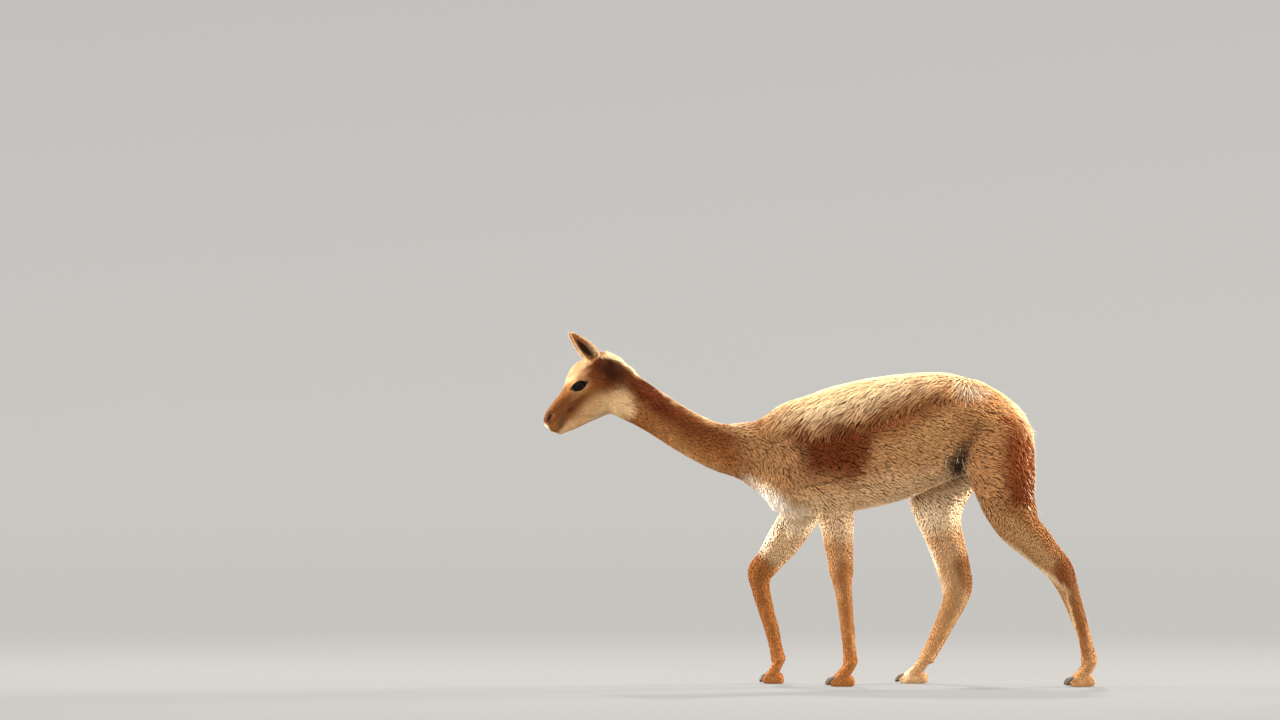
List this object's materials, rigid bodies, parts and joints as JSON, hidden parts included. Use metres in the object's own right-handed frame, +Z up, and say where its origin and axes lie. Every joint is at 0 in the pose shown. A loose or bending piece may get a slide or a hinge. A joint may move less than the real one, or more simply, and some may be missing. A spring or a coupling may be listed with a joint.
{
  "type": "vicuna",
  "caption": "Life-size still vicuna walking with its head low: slim legs, two-toed feet, long neck, upright ears, woolly bib on the chest and a hanging tail.",
  "frame": {"origin": "centre of the bounding box at floor level, under the trunk", "axes": "+X towards the animal's tail, -Y to the animal's left, +Z up from the soles"},
  "size_m": [1.5995, 0.28, 1.023],
  "materials": {
    "coat_gold": "dense short golden-brown wool, matt",
    "coat_cream": "short smooth cream hair, matt",
    "eye_dark": "polished dark brown eye",
    "nail_dark": "dark horn, faint sheen"
  },
  "bodies": {
    "root": {"head": "coat_gold", "neck": "coat_gold", "barrel": "coat_gold", "rump": "coat_gold", "tail": "coat_gold", "ear_left": "coat_gold", "ear_right": "coat_gold", "chest": "coat_gold", "foreleg_left_upper": "coat_gold", "foreleg_left_lower": "coat_cream", "foreleg_right_upper": "coat_gold", "foreleg_right_lower": "coat_cream", "hindleg_left_upper": "coat_gold", "hindleg_left_lower": "coat_cream", "hindleg_right_upper": "coat_gold", "hindleg_right_lower": "coat_cream", "foot_fore_left": "coat_cream", "foot_fore_right": "coat_cream", "foot_hind_left": "coat_cream", "foot_hind_right": "coat_cream", "nail_fore_left_inner": "nail_dark", "nail_fore_left_outer": "nail_dark", "nail_fore_right_inner": "nail_dark", "nail_fore_right_outer": "nail_dark", "nail_hind_left_inner": "nail_dark", "nail_hind_left_outer": "nail_dark", "nail_hind_right_inner": "nail_dark", "nail_hind_right_outer": "nail_dark", "eye_left": "eye_dark", "eye_right": "eye_dark"}
  },
  "joints": []
}
